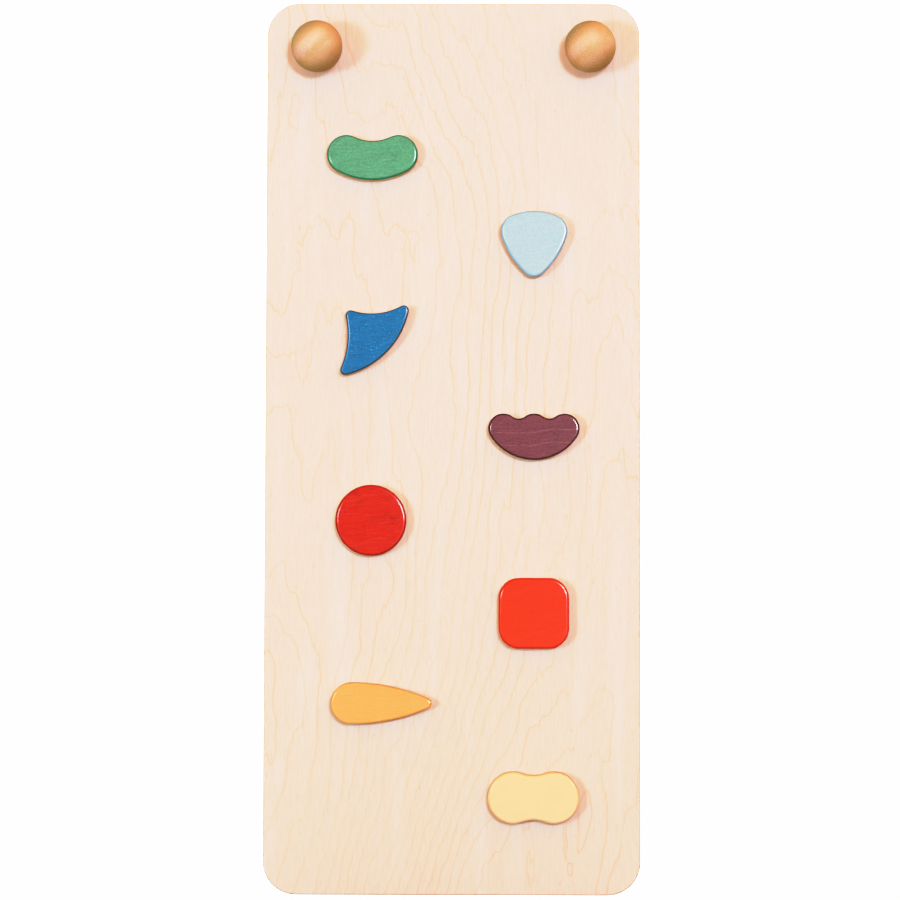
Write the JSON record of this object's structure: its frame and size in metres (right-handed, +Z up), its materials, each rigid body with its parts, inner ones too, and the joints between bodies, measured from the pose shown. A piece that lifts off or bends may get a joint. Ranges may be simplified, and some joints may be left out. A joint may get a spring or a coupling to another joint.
{
  "type": "toddler climbing board",
  "caption": "Tall plywood climbing board for toddlers, with stained wooden grips in staggered columns and turned balls near the top that hook it over a rung.",
  "frame": {"origin": "middle of the board's bottom edge, half way through its thickness", "axes": "+X across the board, +Y from the climbing face to the back, +Z up"},
  "size_m": [0.45, 0.137, 1.07],
  "materials": {
    "birch_ply": "satin varnish",
    "green_stain": "satin varnish",
    "light_blue_stain": "satin varnish",
    "blue_stain": "satin varnish",
    "purple_stain": "satin varnish",
    "red_stain": "satin varnish",
    "orange_red_stain": "satin varnish",
    "orange_stain": "satin varnish",
    "yellow_stain": "satin varnish",
    "beech": "oiled",
    "screw_steel": "zinc plated",
    "insert_brass": "plain"
  },
  "bodies": {
    "root": {"climbing_board": "birch_ply", "green_bean_grip": "green_stain", "light_blue_triangle_grip": "light_blue_stain", "blue_fin_grip": "blue_stain", "purple_cloud_grip": "purple_stain", "red_disc_grip": "red_stain", "orange_red_square_grip": "orange_red_stain", "orange_drop_grip": "orange_stain", "yellow_peanut_grip": "yellow_stain", "green_bean_screws": "screw_steel", "light_blue_triangle_screws": "screw_steel", "blue_fin_screws": "screw_steel", "purple_cloud_screws": "screw_steel", "red_disc_screws": "screw_steel", "orange_red_square_screws": "screw_steel", "orange_drop_screws": "screw_steel", "yellow_peanut_screws": "screw_steel", "front_left_ball": "beech", "front_right_ball": "beech", "rear_left_ball": "beech", "rear_right_ball": "beech", "front_left_insert": "insert_brass", "front_right_insert": "insert_brass", "rear_left_insert": "insert_brass", "rear_right_insert": "insert_brass", "left_stud": "screw_steel", "right_stud": "screw_steel"}
  },
  "joints": []
}
